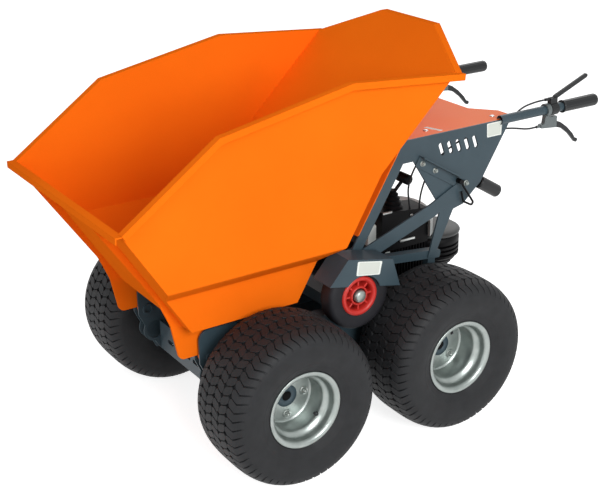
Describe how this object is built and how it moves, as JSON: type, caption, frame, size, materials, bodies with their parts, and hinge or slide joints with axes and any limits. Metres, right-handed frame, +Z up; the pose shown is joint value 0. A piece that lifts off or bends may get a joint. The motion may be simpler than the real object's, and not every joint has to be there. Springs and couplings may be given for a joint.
{
  "type": "pedestrian skip dumper",
  "caption": "Walk-behind site dumper with a forward-tipping skip, four wide turf tyres, side friction rollers, engine deck and two lever handles.",
  "frame": {"origin": "on the ground under the middle of the whole machine", "axes": "+X forward past the skip's lip, +Y to the machine's left, +Z up"},
  "size_m": [1.827, 1.054, 1.2189],
  "materials": {
    "orange_paint": "gloss powder coat, orange",
    "frame_paint": "satin powder coat, dark blue-grey",
    "galvanised_steel": "galvanised, satin",
    "tyre": "turf tread rubber, matt",
    "red_plastic": "moulded, semi-gloss",
    "black_plastic": "moulded, matt",
    "engine_black": "satin engine enamel",
    "grey_plastic": "moulded, satin",
    "zinc_plated": "cast and plated, satin"
  },
  "bodies": {
    "frame": {"chassis_rail_left": "frame_paint", "chassis_rail_right": "frame_paint", "clevis_cheek_left": "frame_paint", "clevis_cheek_right": "frame_paint", "front_cross_plate": "frame_paint", "floor_pan": "frame_paint", "roller_frame": "frame_paint", "roller_guard_left": "frame_paint", "roller_guard_right": "frame_paint", "rear_subframe": "frame_paint", "long_braces": "frame_paint", "angle_brackets": "frame_paint", "handle_plate_left": "frame_paint", "handle_plate_right": "frame_paint", "handle_tube_left": "frame_paint", "handle_tube_right": "frame_paint", "grip_left": "black_plastic", "grip_right": "black_plastic", "lever_bracket_left": "zinc_plated", "lever_bracket_right": "zinc_plated", "hand_lever_left": "black_plastic", "hand_lever_right": "black_plastic", "throttle_lever": "black_plastic", "latch_lever": "black_plastic", "latch_strap": "engine_black", "clutch_cable_left": "black_plastic", "clutch_cable_right": "black_plastic", "throttle_cable": "black_plastic", "engine_cover": "orange_paint", "engine_shield": "orange_paint", "engine_deck": "frame_paint", "engine_block": "engine_black", "engine_cowl": "grey_plastic", "recoil_housing": "black_plastic", "gear_lever": "black_plastic", "axle_front": "frame_paint", "axle_rear": "frame_paint"},
    "skip": {"skip_rear_wall": "orange_paint", "skip_floor": "orange_paint", "skip_front_slope": "orange_paint", "skip_side_left": "orange_paint", "skip_side_right": "orange_paint", "skip_lug_left": "orange_paint", "skip_lug_right": "orange_paint"},
    "wheel_front_left": {"tyre_front_left": "tyre", "rim_front_left": "galvanised_steel"},
    "wheel_front_right": {"tyre_front_right": "tyre", "rim_front_right": "galvanised_steel"},
    "wheel_rear_left": {"tyre_rear_left": "tyre", "rim_rear_left": "galvanised_steel"},
    "wheel_rear_right": {"tyre_rear_right": "tyre", "rim_rear_right": "galvanised_steel"},
    "roller_left": {"roller_tyre_left": "tyre", "roller_rim_left": "red_plastic"},
    "roller_right": {"roller_tyre_right": "tyre", "roller_rim_right": "red_plastic"}
  },
  "joints": [
    {"name": "skip_tip", "type": "hinge", "parent": "frame", "child": "skip", "pos_m": [0.5685, 0, 0.352], "axis": [0, 1, 0], "range_deg": [0, 75]},
    {"name": "wheel_front_left_spin", "type": "hinge", "parent": "frame", "child": "wheel_front_left", "pos_m": [0.4125, 0.4, 0.254], "axis": [0, 1, 0], "continuous": true},
    {"name": "wheel_front_right_spin", "type": "hinge", "parent": "frame", "child": "wheel_front_right", "pos_m": [0.4125, -0.4, 0.254], "axis": [0, 1, 0], "continuous": true},
    {"name": "wheel_rear_left_spin", "type": "hinge", "parent": "frame", "child": "wheel_rear_left", "pos_m": [-0.1675, 0.4, 0.254], "axis": [0, 1, 0], "continuous": true},
    {"name": "wheel_rear_right_spin", "type": "hinge", "parent": "frame", "child": "wheel_rear_right", "pos_m": [-0.1675, -0.4, 0.254], "axis": [0, 1, 0], "continuous": true},
    {"name": "roller_left_spin", "type": "hinge", "parent": "frame", "child": "roller_left", "pos_m": [0.1225, 0.338, 0.48906], "axis": [0, 1, 0], "continuous": true},
    {"name": "roller_right_spin", "type": "hinge", "parent": "frame", "child": "roller_right", "pos_m": [0.1225, -0.338, 0.48906], "axis": [0, 1, 0], "continuous": true}
  ]
}
